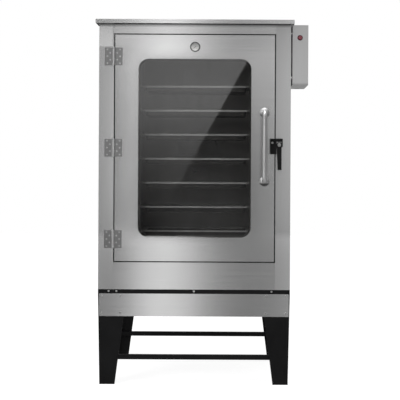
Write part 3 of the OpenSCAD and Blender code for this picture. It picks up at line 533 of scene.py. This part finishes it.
# The floor is pale to the eye and dimmer in reflections, more so further away
FLOOR_HALF, FLOOR_Z = 14, -0.0006
t = Material("studio_floor")
ray = t.node("ShaderNodeLightPath").outputs
seen = t.calc("MAXIMUM", ray["Is Camera Ray"], ray["Is Transmission Ray"])
t.set(color=grey(0.86), rough=0.9, spec=0.1)
pale = t.blend(t.calc("MULTIPLY", seen, 0.72), t.bsdf.outputs[0], t.light(1.2))
away = t.node("ShaderNodeVectorMath", {0: t.node("ShaderNodeTexCoord").outputs["Object"]}, operation="LENGTH")
dim = t.light(t.span(away.outputs["Value"], 0.75, 0.3, 0.6, 4.5))
t.surface(t.blend(ray["Is Glossy Ray"], pale, dim))
sheets("studio_floor", [[(x * FLOOR_HALF, y * FLOOR_HALF, FLOOR_Z)
                         for x, y in ((-1, -1), (1, -1), (1, 1), (-1, 1))]], t.mat)

# The room: white to the eye. To all else it is brighter upwards and behind the oven, with a dark spot
# straight in front of it and a mild lamp at its left
world = bpy.data.worlds.new("studio")
scene.world = world
world.use_nodes = True
wt = Tree(world.node_tree)
for n in list(wt.nt.nodes):
    wt.nt.nodes.remove(n)
facing = wt.node("ShaderNodeTexCoord").outputs["Generated"]
part = wt.node("ShaderNodeSeparateXYZ", {0: facing}).outputs
upwards = wt.ramp(wt.span(part["Z"], 0.0, 1.0, -1.0, 1.0), [(0.5, rgb(0.16)), (0.75, rgb(0.75))])
room = wt.mix(wt.span(part["Y"], 0.0, 1.0, 0.0, 0.35), upwards, grey(0.85))
front = wt.node("ShaderNodeVectorMath", {0: facing, 1: (0.0, -1.0, 0.0)}, operation="DISTANCE")
off_front = wt.span(front.outputs["Value"], 0.04, 1.0, 0.16, 0.5, interpolation_type="SMOOTHSTEP")
room = wt.mix(off_front, grey(0.04), room)
left = wt.node("ShaderNodeVectorMath", {0: facing, 1: (-0.93, -0.37, 0.0)}, operation="DISTANCE")
lamp = wt.span(left.outputs["Value"], 1.0, 0.0, 0.2, 0.42, interpolation_type="SMOOTHSTEP")
room = wt.mix(lamp, room, grey(0.55))
lit = wt.node("ShaderNodeBackground", {"Color": room, "Strength": 1.0}).outputs[0]
bright = wt.node("ShaderNodeBackground", {"Color": grey(1.0), "Strength": 1.0}).outputs[0]
eye = wt.node("ShaderNodeLightPath").outputs["Is Camera Ray"]
wt.node("ShaderNodeOutputWorld", {"Surface": wt.blend(eye, lit, bright)})


def area(name, loc, target, size, power):
    li = bpy.data.lights.new(name, "AREA")
    li.energy = power
    li.size = size
    o = bpy.data.objects.new(name, li)
    scene.collection.objects.link(o)
    o.location = loc
    o.rotation_euler = (Vector(target) - Vector(loc)).to_track_quat("-Z", "Y").to_euler()


area("key", (-2.6, -4.2, 3.4), (0, -0.3, 1.0), 2.2, 190)
area("fill", (3.0, -4.4, 1.6), (0, -0.3, 1.0), 2.4, 70)
area("overhead", (0, -0.8, 4.2), (0, 0, 0.9), 2.6, 110)


# ---------------------------------------------------------------- reflector cards

CARD_SHIFT = 0.048
FAR_Y, GLOW_Y, CORNER_Y, NEAR_Y = -7.54, -7.56, -1.545, -1.55
BAND_HALF = 0.9


def card(name, y, quads, radiance):
    """A card that shows only in surfaces that mirror it.

    quads: (x, z) corners in a plane of constant y. radiance makes the card's light from its tree."""
    t = Material(name)
    t.surface(t.light(radiance(t)))
    t.nt.nodes.remove(t.bsdf)
    o = sheets(name, [[(x, y, z) for x, z in q] for q in quads], t.mat)
    o.location.x = CX + CARD_SHIFT
    o.visible_camera = o.visible_diffuse = o.visible_transmission = o.visible_shadow = False


def upright(x0, x1, z0, z1):
    """The (x, z) corners of a rectangle."""
    return [(x0, z0), (x1, z0), (x1, z1), (x0, z1)]


def low_glow(t):
    """Brightest low down and in the middle."""
    xyz = t.xyz()
    wide = t.calc("MULTIPLY", t.span(xyz["X"], 0.2, 1.0, -0.85, -0.3), t.span(xyz["X"], 1.0, 0.6, 0.1, 0.4))
    return t.calc("MULTIPLY", t.span(xyz["Z"], 0.12, 0.04, 0.5, 1.6), wide)


def slanted(t):
    """Brighter upwards, on top of the low glow."""
    high = t.calc("MULTIPLY", t.calc("POWER", t.span(t.xyz()["Z"], 0.0, 1.0, 0.5, 1.8), 1.7), 0.5)
    return t.calc("ADD", high, low_glow(t))


def banded(stops, lift):
    """Brightness along X: each stop is (place from 0 to 1 over the band, half the brightness).

    lift: (z0, z1, k0, k1) changes it upwards."""
    z0, z1, k0, k1 = lift

    def radiance(t):
        xyz = t.xyz()
        g = t.ramp(t.span(xyz["X"], 0.0, 1.0, -BAND_HALF, BAND_HALF), [(p, rgb(v)) for p, v in stops])
        g = t.calc("MULTIPLY", t.node("ShaderNodeSeparateColor", {0: g}).outputs[0], 2.0)
        return t.calc("MULTIPLY", g, t.span(xyz["Z"], k0, k1, z0, z1))
    return radiance


# At the camera's distance: what the window mirrors
card("slanted_card", FAR_Y, [[(-0.902, 0.0), (0.70, 2.9), (-3.2, 2.9), (-3.2, 0.0)]], slanted)
card("low_glow_card", GLOW_Y, [upright(-3.2, 3.2, 0.0, 1.6)], low_glow)

# A metre in front of the oven: what the steel mirrors. They leave a gap that the window looks through
EDGE = 1.4
LOW_TOP, SIDE_FOOT, SIDE_TOP, HIGH_TOP = 0.718, 0.7, 1.79, 2.7
GAP_LEFT, GAP_RIGHT = -0.42, 0.262
low_stops = [(0.0, 0.2), (0.12, 0.18), (0.145, 0.05), (0.2, 0.045), (0.232, 0.12), (0.284, 0.46),
             (0.32, 0.735), (0.36, 0.8), (0.39, 0.7), (0.443, 0.47), (0.496, 0.19), (0.535, 0.075),
             (0.575, 0.065), (0.66, 0.09), (0.72, 0.125), (0.79, 0.165), (0.83, 0.28), (1.0, 0.38)]
high_stops = [(0.0, 0.1), (0.2, 0.06), (0.232, 0.09), (0.284, 0.35), (0.32, 0.6), (0.36, 0.68),
              (0.39, 0.61), (0.443, 0.42), (0.496, 0.21), (0.535, 0.13), (0.6, 0.1), (0.655, 0.145),
              (0.72, 0.19), (0.8, 0.27), (1.0, 0.34)]
left_stops = [(0.0, 0.15), (0.165, 0.14), (0.2, 0.25), (0.23, 0.38), (0.246, 0.66), (0.26, 1.0), (1.0, 1.0)]
right_stops = [(0.0, 0.155), (0.66, 0.15), (0.71, 0.195), (0.76, 0.31), (0.84, 0.36), (0.9, 0.1), (1.0, 0.05)]
card("corner_card", CORNER_Y, [upright(-0.95, -0.52, 1.86, 1.96)], lambda t: 0.6)
card("low_card", NEAR_Y, [upright(-EDGE, EDGE, 0.0, LOW_TOP)],
     banded(low_stops, (0.64, LOW_TOP, 1.0, 1.3)))
card("high_card", NEAR_Y, [upright(-EDGE, EDGE, SIDE_TOP, HIGH_TOP)],
     banded(high_stops, (SIDE_TOP, 1.95, 1.4, 0.95)))
card("left_card", NEAR_Y, [upright(-EDGE, GAP_LEFT, SIDE_FOOT, SIDE_TOP)],
     banded(left_stops, (0.75, 1.5, 1.05, 1.14)))
card("right_card", NEAR_Y, [upright(GAP_RIGHT, EDGE, SIDE_FOOT, SIDE_TOP)],
     banded(right_stops, (0.9, 1.8, 0.92, 1.2)))

# ---------------------------------------------------------------- camera

# Found from the photo's perspective: seven metres off, a little to the right, with a slight roll
CAMERA_PLACE = (172.6, -7000, 1156.6)
CAMERA_ROLL = 0.3
cam = bpy.data.cameras.new("camera")
cam.sensor_width = 36.0
cam.lens = 120.9
cam.shift_x = -0.0692
cam.shift_y = -0.0925
cam.clip_start = 0.1
cam.clip_end = 100
cam_o = bpy.data.objects.new("camera", cam)
scene.collection.objects.link(cam_o)
cam_o.rotation_mode = "QUATERNION"
cam_o.location = at(*CAMERA_PLACE)
roll = Matrix.Rotation(math.radians(CAMERA_ROLL), 3, "Z")
cam_o.rotation_quaternion = (Matrix.Rotation(math.pi / 2, 3, "X") @ roll).to_quaternion()
scene.camera = cam_o

scene.view_settings.view_transform = "Standard"
